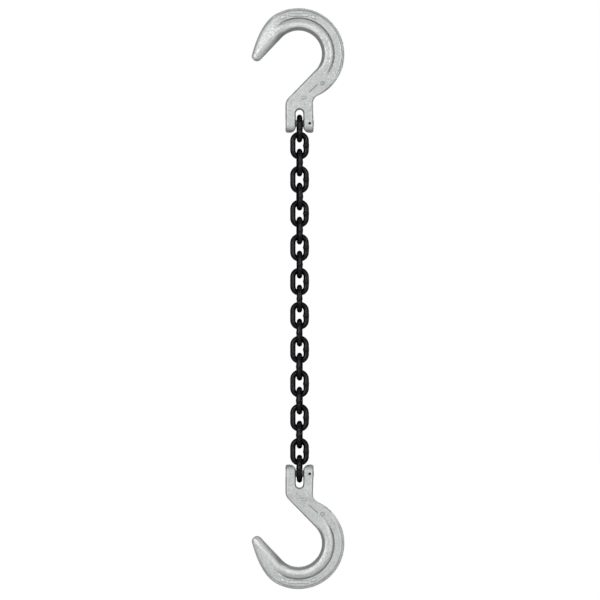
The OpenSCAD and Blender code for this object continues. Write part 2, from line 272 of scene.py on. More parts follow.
def open_group(name, inputs, outputs):
    """A shader node group, what it is given, and its output node.

    A plain number makes a value socket, and four numbers make a colour socket."""
    tree = bpy.data.node_groups.new(name, "ShaderNodeTree")
    for direction, sockets in (("INPUT", inputs), ("OUTPUT", outputs)):
        for socket, value in sockets.items():
            kind = "NodeSocketColor" if isinstance(value, tuple) else "NodeSocketFloat"
            made = tree.interface.new_socket(socket, in_out=direction, socket_type=kind)
            made.default_value = value
    given = tree.nodes.new("NodeGroupInput").outputs
    return tree, given, tree.nodes.new("NodeGroupOutput")


def grain_group():
    """Fine grain over broad mottling: a mask for colour and roughness, and a height."""
    tree, given, result = open_group(
        "Forged Grain",
        {
            "Grains per Metre": 700.0, "Patches per Metre": 70.0, "Patch Share": 0.4,
            "Contrast": 1.6, "Pits": 0.3,
        },
        {"Mask": 0.0, "Height": 0.0},
    )
    place, fine = here(tree), given["Grains per Metre"]
    grain = add_node(
        tree, "TexNoise", {"Vector": place, "Scale": fine, "Detail": 5.0, "Roughness": 0.62}
    )
    broad = {"Scale": given["Patches per Metre"], "Detail": 3.0, "Distortion": 0.3}
    patch = add_node(tree, "TexNoise", {"Vector": place, **broad})
    pit_size = maths(tree, "MULTIPLY", fine, 0.45)
    pits = add_node(tree, "TexVoronoi", {"Vector": place, "Scale": pit_size}, out="Distance")
    dips = add_node(tree, "MapRange", {"Value": pits, "From Max": 0.35})
    centred = maths(tree, "SUBTRACT", blended(tree, given["Patch Share"], grain, patch), 0.5)
    spread = maths(tree, "MULTIPLY", centred, given["Contrast"])
    set_inputs(tree, result, {
        "Mask": maths(tree, "ADD", spread, 0.5, use_clamp=True),
        "Height": blended(tree, given["Pits"], grain, dips),
    })


def rub_group():
    """Breaks a smooth rubbed mask up, so that its border is ragged and its middle scuffed."""
    tree, given, result = open_group(
        "Rubbed Places", {"Rub": 0.0, "Amount": 0.5, "Scuffs per Metre": 400.0}, {"Mask": 0.0}
    )
    scuffs = add_node(tree, "TexNoise", {
        "Vector": here(tree), "Scale": given["Scuffs per Metre"], "Detail": 4.0, "Roughness": 0.7,
    })
    weighed = maths(tree, "MULTIPLY", given["Rub"], given["Amount"])
    summed = maths(tree, "ADD", weighed, scuffs)
    cut = add_node(tree, "MapRange", {"Value": summed, "From Min": 0.62, "From Max": 1.15})
    set_inputs(tree, result, {"Mask": cut})


def tone_group():
    """Picks a colour between two tones and a roughness between two values by the grain."""
    tree, given, result = open_group(
        "Tones",
        {
            "Grain": 0.5, "Rubbed": 0.0, "Dark": (0.1, 0.1, 0.1, 1), "Light": (0.5, 0.5, 0.5, 1),
            "Rubbed Colour": (0.5, 0.5, 0.5, 1), "Smoothest": 0.35, "Roughest": 0.6,
            "Rubbed Roughness": 0.3, "Side": 0.0, "Side Share": 0.0,
            "Side Colour": (0.2, 0.2, 0.2, 1),
        },
        {"Color": (0.5, 0.5, 0.5, 1), "Roughness": 0.5},
    )
    grain, rubbed = given["Grain"], given["Rubbed"]
    tone = blended_colour(tree, grain, given["Dark"], given["Light"])
    worn = blended_colour(tree, rubbed, tone, given["Rubbed Colour"])
    # The side colour lays painted shade over the tone, as far as the side mask reaches
    side = maths(tree, "MULTIPLY", given["Side"], given["Side Share"], use_clamp=True)
    rough = blended(tree, grain, given["Roughest"], given["Smoothest"])
    set_inputs(tree, result, {
        "Color": blended_colour(tree, side, worn, given["Side Colour"]),
        "Roughness": blended(tree, rubbed, rough, given["Rubbed Roughness"]),
    })


def turned_group():
    """Fine rings round the load line's cross axis, as a lathe leaves them on a pin."""
    tree, given, result = open_group("Turned Rings", {"Rings per Metre": 4000.0}, {"Height": 0.0})
    along = add_node(tree, "SeparateXYZ", {0: here(tree)}, out="X")
    phase = maths(tree, "MULTIPLY", along, given["Rings per Metre"])
    set_inputs(tree, result, {"Height": add_node(tree, "Math", {0: phase}, operation="SINE")})


# Masks kept with the meshes' points: rubbed places, which on the hooks also carry a painted
# highlight, and the hooks' painted shade
RUB_AND_HIGHLIGHT_MASK, SHADE_MASK = "rub", "side"
RING_BUMP = {"Strength": 0.25, "Distance": 0.00002}


def own_node(owner, kind):
    """The node of that type that a new material or world has."""
    owner.use_nodes = True
    return next(n for n in owner.node_tree.nodes if n.type == kind)


def finish(name, tones, grain, surface, bump, rub_amount=0.0, rings=0.0, sides=False):
    """A material: shared groups give its tones, roughness and height, its shader the rest.

    The bump is given as its strength and its distance in metres."""
    mat = bpy.data.materials.new(name)
    shader, tree = own_node(mat, "BSDF_PRINCIPLED"), mat.node_tree

    def place_group(group, values):
        node = tree.nodes.new("ShaderNodeGroup")
        node.node_tree = bpy.data.node_groups[group]
        set_inputs(tree, node, values)
        return node.outputs

    def mask(kept):
        return add_node(tree, "Attribute", {}, out="Fac", attribute_name=kept)

    skin = place_group("Forged Grain", grain)
    masks = {"Grain": skin["Mask"]}
    if rub_amount:
        rub = place_group("Rubbed Places", {"Rub": mask(RUB_AND_HIGHLIGHT_MASK), "Amount": rub_amount})
        masks["Rubbed"] = rub["Mask"]
    # The side mask lays painted shade on the coat
    if sides:
        masks["Side"] = mask(SHADE_MASK)
    tones = {key: (*v, 1) if hasattr(v, "__len__") else v for key, v in tones.items()}
    pick = place_group("Tones", {**tones, **masks})
    height = {"Strength": bump[0], "Distance": bump[1], "Height": skin["Height"]}
    if rings:
        lathe = place_group("Turned Rings", {"Rings per Metre": rings})
        height["Normal"] = add_node(tree, "Bump", {**RING_BUMP, "Height": lathe["Height"]})
    set_inputs(tree, shader, {
        **surface, "Base Color": pick["Color"], "Roughness": pick["Roughness"],
        "Normal": add_node(tree, "Bump", height),
    })


# Mesh helpers


def way(angle):
    """The direction at that angle."""
    return np.array([math.cos(angle), math.sin(angle)])


def polar(centre, radius, angle):
    """The point at that distance and angle from the centre."""
    return np.array(centre) + radius * way(angle)


def mix(a, b, f):
    """From a to b by the share f."""
    return a + (b - a) * f


def ramp(value, start, end):
    """Rises from 0 at the start to 1 at the end."""
    return np.clip((value - start) / (end - start), 0, 1)


def ease(f):
    """A share with a soft start and end."""
    f = np.clip(f, 0, 1)
    return f * f * (3 - 2 * f)


def bell(away, reach):
    """1 in the middle, falling off smoothly within the reach."""
    return np.exp(-((away / reach) ** 2))


def cross(a, b):
    """Cross product of two flat directions."""
    return a[0] * b[1] - a[1] * b[0]


SHARP = math.radians(35)


def add_object(name, data):
    """A new object in the scene."""
    obj = bpy.data.objects.new(name, data)
    bpy.context.scene.collection.objects.link(obj)
    return obj


def mesh_of(name, points, faces):
    """A mesh from points and faces."""
    mesh = bpy.data.meshes.new(name)
    mesh.from_pydata([tuple(map(float, p)) for p in points], [], faces)
    return mesh


def tube(rings, closed_ends=True, loop=False):
    """Points and faces of a skin over rings of the same number of points."""
    count, around = len(rings), len(rings[0])
    points = [p for ring in rings for p in ring]
    faces = []
    for i in range(count if loop else count - 1):
        a, b = i * around, (i + 1) % count * around
        for j in range(around):
            n = (j + 1) % around
            faces.append((a + j, a + n, b + n, b + j))
    if closed_ends and not loop:
        faces.append(tuple(reversed(range(around))))
        faces.append(tuple(range((count - 1) * around, count * around)))
    return points, faces


def out_facing(mesh):
    """Turns the faces outwards."""
    work = bmesh.new()
    work.from_mesh(mesh)
    bmesh.ops.recalc_face_normals(work, faces=work.faces)
    work.to_mesh(mesh)
    work.free()
    return mesh


def combine(mesh, tool, operation):
    """The mesh with the tool cut away from it or joined to it."""
    body, other = add_object("work", mesh), add_object("tool", out_facing(tool))
    step = body.modifiers.new("step", "BOOLEAN")
    step.operation, step.object, step.solver = operation, other, "EXACT"
    made = bpy.data.meshes.new_from_object(
        body.evaluated_get(bpy.context.evaluated_depsgraph_get())
    )
    for obj in (body, other):
        bpy.data.objects.remove(obj)
    if len(made.polygons) < len(mesh.polygons) // 2:
        raise RuntimeError(f"{operation.lower()} left too little of the piece")
    return made


def round_tool(profile, axis, steps=64):
    """A solid of revolution from (distance along the axis, radius) pairs."""
    turns = [way(math.tau * i / steps) for i in range(steps)]
    return mesh_of("tool", *tube([
        [(along, r * c, r * d) if axis == "X" else (r * c, along, r * d) for c, d in turns]
        for along, r in profile
    ]))


def keep_mask(mesh, name, values):
    """Keeps a mask with the mesh's points."""
    mask = mesh.attributes.new(name, "FLOAT", "POINT")
    mask.data.foreach_set("value", np.asarray(values, np.float32))


def rows_of(items, field):
    """Three numbers for each item, as rows."""
    flat = np.zeros(len(items) * 3, np.float32)
    items.foreach_get(field, flat)
    return flat.reshape(-1, 3).astype(float)


def positions(mesh):
    """The mesh's points, as rows."""
    return rows_of(mesh.vertices, "co")


def normals(mesh):
    """The normals at the mesh's points, as rows."""
    return rows_of(mesh.vertex_normals, "vector")


def stand_for(name, mesh, node, material):
    """A smooth piece in the place of a CAD node. It moves with the node's body."""
    mesh.validate()
    mesh.shade_smooth()
    mesh.set_sharp_from_angle(angle=SHARP)
    mesh.materials.clear()
    mesh.materials.append(bpy.data.materials[material])
    obj = add_object(name, mesh)
    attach(obj, frame["nodes"][node]["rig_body"])
    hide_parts(node)


def place_both(mesh, piece, slot, material):
    """One piece for each hook, in its place: the load pin's centre, the lower turned over."""
    for side, over in (("upper", 0), ("lower", math.pi)):
        lo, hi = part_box(f"{side}_load_pin")
        middle = Matrix.Translation((0, 0, (lo.z + hi.z) / 2))
        own = mesh.copy()
        own.transform(middle @ Matrix.Rotation(over, 4, "X"))
        stand_for(f"{side}_{piece}", own, f"{side}_{slot}", material)


# Hook

# A half section is numbered from 0 at the inner edge to 16 at the outer edge, and its middle
# is 8. On the clevis and the shank the edges are round up to 4. On the bowl the bead ends at 8
# and the rim starts at 13, and on the point the ridge is at 6.
LAST, MIDDLE, ROUND_END, RIM_START, RIDGE = 16, 8, 4, 13, 6
SECTION_STEPS = np.concatenate([
    np.arange(1, 7, 0.5), np.arange(7, 8.95, 0.1), np.arange(9, 12.1, 0.5),
    np.arange(12.2, 13.9, 0.15), np.arange(14, 15.6, 0.25),
])
FINE_STEPS = 641
# Fullness of the bead, how the steps lie on the web and the rim, and where the crease may start
BEAD_FULL, WEB_ENDS, CREASE_FROM = 3.0, (0.1, 0.93), 3
RIM_STEPS, RIM_LAST, RIM_ROUND = ((13, 14, 15), (0, 0.4, 0.85)), 0.15, 0.4
# Where the shank turns into the bowl, and the bowl into the point, as angles round the bowl
SWELL = (math.radians(-52), math.radians(-12))
TAPER = (math.radians(104), math.radians(140))


def slab_section(u, w, h, s):
    """Flat section of the clevis and the shank, with drafted sides and rounded edges."""
    e = min(s.edge, h / 2)
    v = np.minimum(u, LAST - u)
    b = np.radians(np.clip(90 / (ROUND_END - 1) * (v - 1), 0, 90))
    q = np.where(v < 1, s.draft * v, s.draft + e * (1 - np.cos(b)))
    z = np.where(v < 1, (h - e) * v, h - e * (1 - np.sin(b)))
    flat = mix(s.draft + e, w - s.draft - e, (v - ROUND_END) / (LAST - 2 * ROUND_END))
    q = np.where(v > ROUND_END, flat, q)
    return np.where(u > MIDDLE, w - q, q), z


def crease_place(s):
    """Turn of the bead, and distance from the inner edge, at which it meets the web."""
    meets = math.pi - math.asin(s.web / s.bead)
    return meets, s.bead / 2 * (1 - math.cos(meets))


def bowl_section(u, w, s):
    """Round bead, crease, flat web and rim."""
    meets, crease = crease_place(s)
    b = np.clip(u / MIDDLE, 0, 1) * meets
    flat = w - s.rim
    f = np.where(u < LAST - 1, np.interp(u, *RIM_STEPS), 1 - RIM_LAST * (LAST - u) ** 2)
    along = np.interp(u, (MIDDLE, MIDDLE + 1, RIM_START - 1, RIM_START), (0, *WEB_ENDS, 1))
    q = np.where(u < MIDDLE, s.bead / 2 * (1 - np.cos(b)), mix(crease, flat, along))
    q = np.where(u > RIM_START, w - s.rim * (1 - f), q)
    full = (1 - np.clip(np.cos(b), 0, 1) ** BEAD_FULL) ** (1 / BEAD_FULL)
    z = np.where(u < MIDDLE, s.bead / 2 * np.where(b < QUARTER, full, np.sin(b)), s.web / 2)
    z = np.where(u > RIM_START, s.web / 2 * np.clip(1 - f ** 3, 0, 1) ** RIM_ROUND, z)
    reach = s.crease_reach
    groove = s.crease_depth * bell(q - crease, reach)
    line = s.rim_line * bell(q - flat, reach)
    lip = s.crease_lip * bell(q - crease - 2 * reach, reach)
    return q, z - np.where(u > CREASE_FROM, groove - lip, 0) - np.where(z > s.web / 4, line, 0)


# The point: its ridge, how low its two faces end, and the rounding of its two edges
RIDGE_PLACE, RIDGE_SHARE, RIDGE_SOFT = 8.5 * MM, 0.6, 1.6 * MM
THROAT_LOW, BACK_LOW = 0.3, 0.42
THROAT_ROUND, THROAT_FULL, BACK_FULL, BACK_ROUND = 0.2, 4, 8, 0.45


def soft_min(a, b, r):
    """The lower of two heights, rounded over where they meet."""
    return np.minimum(a, b) - np.maximum(0, r - np.abs(a - b)) ** 2 / (4 * r)


def point_section(u, w, h):
    """A narrow face on the throat side and a broad one on the back, a soft ridge between."""
    m = min(RIDGE_SHARE, RIDGE_PLACE / w)
    rise = (1 - np.cos(np.clip(u / RIDGE, 0, 1) * math.pi / 3)) * 2 * m
    fall = np.sin(np.radians(np.clip((u - RIDGE) * 90 / (LAST - RIDGE), 0, 90)))
    t = np.where(u < RIDGE, rise, mix(m, 1, fall))
    back = (t - m) / (1 - m)
    flat = soft_min(h * mix(THROAT_LOW, 1, t / m), h * (1 - BACK_LOW * back), min(RIDGE_SOFT, h))
    inner = np.sqrt(1 - np.clip(1 - t / THROAT_ROUND, 0, 1) ** THROAT_FULL)
    outer = (1 - np.clip(back, 0, 1) ** BACK_FULL) ** BACK_ROUND
    return w * t, flat * inner * outer


# Numbers of stations on the ears, the clevis, the bend, the shank, the bowl, the point and the
# nose, where the ears' first one lies, and how they crowd towards the ends of point and nose
EARS, CLEVIS, BEND, SHANK, BOWL, POINT, NOSE = 14, 16, 19, 22, 120, 42, 18
FIRST_EAR, POINT_CROWD, NOSE_CROWD = 0.7, 1.3, 1.2
# Share of the thinning from clevis to shank that the bend has, and how fast the shank ends it
BEND_THINNED, SHANK_THINS = 0.7, 3


def hook_stations(s):
    """Along the forging: inner point, outer point, half thickness, bowl share, point share."""
    half = s.slot_half + s.ear_width
    ear_r = s.clevis / 2
    ear_mid = ear_r - s.ear_length
    bowl = np.array([s.bowl_shift, s.bowl_height])
    outer_r = s.bowl_radius + s.bowl_width
    start, end = s.shank_slope - QUARTER, s.throat_slope + QUARTER
    shank_end = polar(bowl, s.bowl_radius, start)
    side = way(s.shank_slope + QUARTER)
    bend_x = s.bend - half
    bend_z = shank_end[1] - (s.bend + (bend_x - shank_end[0]) * side[0]) / side[1]
    bend = np.array([bend_x, bend_z])
    shank_start = bend + s.bend * side
    neck_x = half - s.waist + s.neck
    neck_z = s.bowl_height - math.sqrt((outer_r + s.neck) ** 2 - (neck_x - s.bowl_shift) ** 2)
    neck = np.array([neck_x, neck_z])
    neck_turn = math.atan2(neck_z - s.bowl_height, neck_x - s.bowl_shift)
    throat_start = polar(bowl, s.bowl_radius, end)
    throat_dir = way(end + QUARTER)
    nose = throat_start + throat_dir * s.point_length + way(end) * s.nose
    nose_back = end + s.point_lean
    back_start = polar(bowl, outer_r, s.back_turn)
    back_end = polar(nose, s.nose, nose_back)
    back_dir, back_in = way(s.back_turn + QUARTER), way(nose_back + QUARTER)
    reach = back_dir * cross(back_end - back_start, back_in)
    bulge = back_start + reach / cross(back_dir, back_in)
    arc = s.bowl_radius * (end - s.back_turn)
    bead_r = s.bead / 2
    thinned = mix(s.clevis, s.shank, BEND_THINNED)

    rows = []
    for i in range(1, EARS + 1):
        a = QUARTER * (1 - (i - FIRST_EAR) / EARS)
        z = ear_mid - ear_r * math.sin(a)
        rise = s.ear_corner - s.ear_length - z
        x = half
        if rise > 0:
            x -= s.ear_corner - math.sqrt(max(0, s.ear_corner ** 2 - rise ** 2))
        rows.append(((-x, z), (x, z), ear_r * math.cos(a), 0, 0))
    for f in np.linspace(0, 1, CLEVIS):
        x = half - s.waist * ease(f)
        rows.append(((-half, mix(ear_mid, bend_z, f)), (x, mix(ear_mid, neck_z, f)), ear_r, 0, 0))
    for f in np.linspace(0, 1, BEND)[1:]:
        rows.append((
            polar(bend, s.bend, math.pi - f * (QUARTER - s.shank_slope)),
            polar(neck, s.neck, math.pi + f * neck_turn),
            mix(s.clevis, thinned, ease(f)) / 2, 0, 0,
        ))
    for f in np.linspace(0, 1, SHANK)[1:-1]:
        a = mix(neck_turn, start, f)
        rows.append((
            mix(shank_start, shank_end, f), polar(bowl, outer_r, a),
            mix(thinned, s.shank, ease(SHANK_THINS * f)) / 2, ease(ramp(a, *SWELL)), 0,
        ))
    for a in np.linspace(start, s.back_turn, BOWL):
        inner, outer = polar(bowl, s.bowl_radius, a), polar(bowl, outer_r, a)
        thick = s.shank / 2 if a < TAPER[0] else bead_r
        rows.append((inner, outer, thick, ease(ramp(a, *SWELL)), ease(ramp(a, *TAPER))))
    for t in np.linspace(0, 1, POINT)[1:]:
        g = t ** POINT_CROWD
        along = g * (arc + s.point_length)
        a = s.back_turn + along / s.bowl_radius
        inner = polar(bowl, s.bowl_radius, a) if along < arc else (
            throat_start + throat_dir * (along - arc)
        )
        outer = (1 - t) ** 2 * back_start + 2 * t * (1 - t) * bulge + t * t * back_end
        rows.append((inner, outer, mix(bead_r, s.nose_thick / 2, g), 1, ease(ramp(a, *TAPER))))
    for f in 1 - (1 - np.linspace(0, 1, NOSE)[1:-1]) ** NOSE_CROWD:
        rows.append((
            polar(nose, s.nose, end + math.pi - QUARTER * f),
            polar(nose, s.nose, mix(nose_back, end + QUARTER, f)),
            s.nose_thick / 2 * math.cos(QUARTER * f), 1, 1,
        ))
    return rows, polar(nose, s.nose, end + QUARTER)


# The trimmed flash: it is lower where a section is narrow or thin, its foot takes up to a share
# of the section's height, and its own section is given as shares of its height and foot
FLASH_WIDTH, FLASH_THICK, FLASH_FOOT = 10 * MM, 3 * MM, 0.4
FLASH_OUT, FLASH_UP = np.array([1, 1, 0.5]), np.array([0, 0.6, 0.85])
# Steps from the flash to the first and from the last of the section's own steps
FIRST_STEPS, NEAR_STEPS, NEXT_STEP = np.array([0, 0.33, 0.66]), np.array([1, 1.02, 1.04]), 1.06
LAST_STEPS, LAST_START = np.array([0.3, 0.6, 0.85, 1]), 15.5


def half_section(w, thick, bowl, point, s):
    """Half section from the inner to the outer edge, with the trimmed flash at both."""

    def shape(u):
        q, z = slab_section(u, w, thick, s)
        if bowl or point:
            bq, bz = bowl_section(u, w, s)
            q, z = mix(q, bq, bowl), mix(z, bz, bowl)
        if point:
            pq, pz = point_section(u, w, thick)
            q, z = mix(q, pq, point), mix(z, pz, point)
        return q, z

    fine = np.linspace(0, LAST, FINE_STEPS)
    fine_q, fine_z = shape(fine)
    top = int(np.argmax(fine_z))
    base = min(s.flash_half, FLASH_FOOT * fine_z[top])
    u_in = np.interp(base, fine_z[:top + 1], fine[:top + 1])
    u_out = np.interp(-base, -fine_z[top:], fine[top:])
    u = np.concatenate([
        mix(u_in, 1, FIRST_STEPS) if u_in < 1 else u_in * NEAR_STEPS,
        np.maximum(SECTION_STEPS, u_in * NEXT_STEP),
        mix(min(LAST_START, u_out), u_out, LAST_STEPS),
    ])
    q, z = shape(np.maximum.accumulate(np.minimum(u, u_out)))
    out = s.flash * min(1, w / FLASH_WIDTH) * min(1, thick / FLASH_THICK) * FLASH_OUT
    up = base * FLASH_UP
    q = np.concatenate([fine_q[0] - out, q, fine_q[-1] + out[::-1]])
    return q, np.concatenate([up, z, up[::-1]])


# Waves of the forged skin: share, waves per metre and shift
WAVES = ((0.7, 60, (0, 0, 0)), (0.4, 230, (3, 1, 2)))


def hook_skin(s):
    """The forging before it is slotted and drilled, in the hook's own frame."""
    rows, tip = hook_stations(s)
    rings = []
    for inner, outer, thick, bowl, point in rows:
        inner, outer = np.array(inner, float), np.array(outer, float)
        w = float(np.linalg.norm(outer - inner))
        q, z = half_section(w, thick, bowl, point, s)
        flat = inner + (outer - inner) / w * q[:, None]
        front = [(p[0], -d, p[1]) for p, d in zip(flat, z)]
        rear = [(p[0], d, p[1]) for p, d in zip(flat, z)]
        rings.append(front + rear[-2:0:-1])
    points, faces = tube(rings, closed_ends=False)
    n = len(rings[0])
    for i in range(n // 2):
        faces.append(tuple(dict.fromkeys((i, i + 1, n - i - 1, (n - i) % n))))
    last = (len(rings) - 1) * n
    points.append((tip[0], 0, tip[1]))
    faces += [(last + i, last + (i + 1) % n, len(points) - 1) for i in range(n)]
    mesh = out_facing(mesh_of("forging", points, faces))
    places = positions(mesh)
    waver = np.array([
        sum(size * noise.noise(Vector(p) * rate + Vector(shift)) for size, rate, shift in WAVES)
        for p in places
    ])
    places += normals(mesh) * waver[:, None] * s.unevenness
    mesh.vertices.foreach_set("co", places.astype(np.float32).ravel())
    mesh.update()
    return mesh


CORNER_STEPS = 17
# Section of the slot's broken edge: depth below the face and width from the slot's wall
SLOT_EDGE = (
    (0, 1), (0.03, 0.87), (0.12, 0.75), (0.27, 0.61),
    (0.5, 0.38), (0.73, 0.16), (0.86, 0.05), (1, 0),
)
# How far the cutting tools reach past the metal
PAST, MOUTH_PAST, FACE_PAST, FACE_SPREAD = 1 * MM, 3 * MM, 0.8 * MM, 3 * MM


def slot_outline(s, grow):
    """Outline of the clevis slot, grown into the metal, as closed points."""
    centre = (s.slot_half + s.mouth, s.mouth - s.ear_length)
    right = [(centre[0], -s.ear_length - MOUTH_PAST)]
    for a in np.linspace(1.5 * math.pi, math.pi, CORNER_STEPS):
        right.append(tuple(polar(centre, s.mouth - grow, a)))
    for a in np.linspace(0, QUARTER, CORNER_STEPS):
        right.append(tuple(polar((0, s.slot_top - s.slot_half), s.slot_half + grow, a)))
    return right + [(-x, z) for x, z in reversed(right[:-1])]


def slot_tool(s):
    """The slot with its edges rounded over on the front and the rear."""
    levels = [(depth * s.slot_round, grow * s.slot_round) for depth, grow in SLOT_EDGE]
    levels.insert(0, (-FACE_PAST, levels[0][1] + FACE_SPREAD))
    sides = [(-(s.clevis / 2 - d), g) for d, g in levels]
    sides += [(-y, g) for y, g in reversed(sides)]
    return mesh_of("slot", *tube([[(x, y, z) for x, z in slot_outline(s, g)] for y, g in sides]))


def bore_tool(radius, reach, chamfer, axis):
    """A through hole with both edges broken."""
    half = [(-reach - PAST, radius + chamfer + PAST), (-reach, radius + chamfer)]
    half.append((-reach + chamfer, radius))
    return round_tool(half + [(-a, r) for a, r in reversed(half)], axis)


# Blank marks in millimetres and degrees: on the web the angle, the angle covered and the half
# width; on the shank both ends, the half width and the height; and a ring's centre and radii
WEB_MARKS, WEB_MARK_PLACE = ((112.5, 8, 2.3), (90, 29, 2.0), (67, 8.5, 2.3)), 20.9 * MM
SHANK_MARKS = (((12.4, 40.4), (23.2, 50.2), 0.55, 0), ((2.6, 33.0), (8.4, 33.6), 1.7, 0.35))
RING_CENTRE, RING_RADIUS, RING_THICK = (29.7 * MM, 52 * MM), 2.1 * MM, 0.5 * MM
RING_STEPS, RING_AROUND = 33, 13
WEB_CORNER, LEAST_CORNER = 1.2 * MM, 0.15 * MM
PAD_FOOT, PAD_EDGE = 0.8 * MM, ((0.35, 0.0), (0.8, 0.25), (1, 0.8))


def pad(outline, height, rise):
    """Rings of a soft-edged raised pad that starts below the face at that height."""
    layers = [(-PAD_FOOT, 0.0)] + [(lift * rise, inset * rise) for lift, inset in PAD_EDGE]
    return [[(x, height + lift, z) for x, z in outline(inset)] for lift, inset in layers]


def rounded_box(half_l, half_w, corner, inset):
    """A rectangle with round corners, as (along, across) points."""
    l, w = half_l - inset, half_w - inset
    r = max(LEAST_CORNER, min(corner - inset, l, w))
    return [
        polar((sx * (l - r), sy * (w - r)), r, math.radians(first + a))
        for sx, sy, first in ((1, 1, 0), (-1, 1, 90), (-1, -1, 180), (1, -1, 270))
        for a in range(0, 91, 18)
    ]


def ring_mark(height):
    """A raised ring, half sunk in the face."""
    rings = []
    for a in np.linspace(0, math.tau, RING_STEPS)[:-1]:
        ring = []
        for b in np.linspace(0, math.tau, RING_AROUND)[:-1]:
            x, z = polar(RING_CENTRE, RING_RADIUS + RING_THICK * math.cos(b), a)
            ring.append((x, height + RING_THICK * math.sin(b), z))
        rings.append(ring)
    return tube(rings, loop=True)


def marks_tool(s):
    """Blank raised marks where a forging carries its words: three on the web, three below."""
    bowl, mid_r = np.array([s.bowl_shift, s.bowl_height]), s.bowl_radius + WEB_MARK_PLACE

    def on_web(middle, span, half_w):
        def outline(inset):
            half_l = math.radians(span) * mid_r / 2
            box = rounded_box(half_l, half_w * MM, WEB_CORNER, inset)
            return [polar(bowl, mid_r + b, math.radians(middle) - a / mid_r) for a, b in box]
        return pad(outline, s.web / 2, s.mark_rise)

    def on_shank(start, end, half_w, height):
        start, end = np.array(start) * MM, np.array(end) * MM
        half_l = float(np.linalg.norm(end - start)) / 2
        along = (end - start) / (2 * half_l)
        across = np.array([-along[1], along[0]])

        def outline(inset):
            box = rounded_box(half_l, half_w * MM, half_w * MM, inset)
            return [(start + end) / 2 + along * a + across * b for a, b in box]
        return pad(outline, s.shank / 2 + height * MM, s.mark_rise)

    pads = [on_web(*mark) for mark in WEB_MARKS] + [on_shank(*mark) for mark in SHANK_MARKS]
    skins = [
        tube([[(x, side * y, z) for x, y, z in ring] for ring in rings])
        for rings in pads for side in (-1, 1)
    ]
    skins += [ring_mark(side * s.shank / 2) for side in (-1, 1)]
    points, faces = [], []
    for some, more in skins:
        faces += [tuple(i + len(points) for i in f) for f in more]
        points += some
    return mesh_of("marks", points, faces)


# Where the hooks' masks lie: distances from the bowl's inner face, angles round the bowl, how
# squarely a face looks to the front, and the shares of painted shade that are left on each place
CREST_PLACE, CREST_REACH = 7.0 * MM, 3.0 * MM
WORN_AND_HIGHLIT = (-1.0, 1.1)
SIDE_FACING, SIDEWAYS_FACING, SIDEWAYS_LESS_SHADE = (0.92, 0.78), 0.4, 0.45
MARK_DARK, OUTER_DARK, SLOT_DARK = 0.8, 0.5, 1.25
MARKED_MIDDLE, MARKED_REACH = 42 * MM, 14 * MM
THROAT_SIDE, INSIDE = 6 * MM, -1 * MM
POINT_DARK, POINT_FADE = 0.55, 14 * MM
BAND_END, BAND_SOFT = 4.8 * MM, 1.6 * MM
RIM_SHARE, RIM_DARK, GROOVE_DARK = 0.8, 0.4, 0.5


def from_throat(mesh, s):
    """Each point's distance from the bowl's inner face, angle, and place along the point."""
    p = positions(mesh)
    dx, dz = p[:, 0] - s.bowl_shift, p[:, 2] - s.bowl_height
    c, d = way(s.throat_slope + QUARTER)
    past = dz * c - dx * d
    away = np.where(past > 0, dx * c + dz * d, np.hypot(dx, dz))
    return away - s.bowl_radius, np.arctan2(dz, dx), past


def hook_rub_and_highlight(mesh, s):
    """Burnished wear with a painted highlight along the crest of the bead and on along the ridge
    of the point.
    """
    inward, angle, past = from_throat(mesh, s)
    along = np.where(past > 0, 1, ramp(angle, *WORN_AND_HIGHLIT) ** 2)
    keep_mask(mesh, RUB_AND_HIGHLIGHT_MASK, bell(inward - CREST_PLACE, CREST_REACH) * along * (inward > INSIDE))


def hook_painted_shade(mesh, s):
    """Painted shade on faces that turn away from the front, in a band inside the bead, in the
    crease and rim line, and round the slot.
    """
    p = positions(mesh)
    deep = np.abs(p[:, 1])
    r = np.hypot(p[:, 0] - s.bowl_shift, p[:, 2] - s.bowl_height)
    on_web = (r > s.bowl_radius + s.bead) & (deep > s.web / 2)
    on_shank = (deep > s.shank / 2) & (np.abs(p[:, 2] - MARKED_MIDDLE) < MARKED_REACH)
    facing = np.abs(normals(mesh)[:, 1])
    turned = ramp(facing, *SIDE_FACING)
    turned[on_web | on_shank] *= MARK_DARK
    inward, angle, past = from_throat(mesh, s)
    bowl = ramp(angle, *SWELL) * ramp(angle, *TAPER[::-1])
    # Painted shade in a band along the bead's inner edge
    turned = np.maximum(turned, bowl * np.clip((BAND_END - inward) / BAND_SOFT, 0, 1))
    # Less painted shade on the faces that look straight sideways
    side = ease(turned) * (1 - SIDEWAYS_LESS_SHADE * np.clip(1 - facing / SIDEWAYS_FACING, 0, 1))
    side *= mix(1, POINT_DARK, ramp(past, 0, POINT_FADE) * (inward > INSIDE))
    side[inward > THROAT_SIDE] *= OUTER_DARK
    side[inward > s.bowl_width - RIM_SHARE * s.rim] *= RIM_DARK
    # Painted shade in the crease beside the bead and in the line inside the rim
    for place in (crease_place(s)[1], s.bowl_width - s.rim):
        side = np.maximum(side, GROOVE_DARK * bowl * bell(inward - place, s.crease_reach))
    # Stronger painted shade round the slot
    reach = np.array([s.slot_half, s.slot_top]) + s.slot_round
    side[np.all(np.abs(p[:, ::2]) < reach, axis=1)] *= SLOT_DARK / OUTER_DARK
    keep_mask(mesh, SHADE_MASK, side)


BORE_CHAMFER, HOLE_CHAMFER = 0.4 * MM, 0.3 * MM


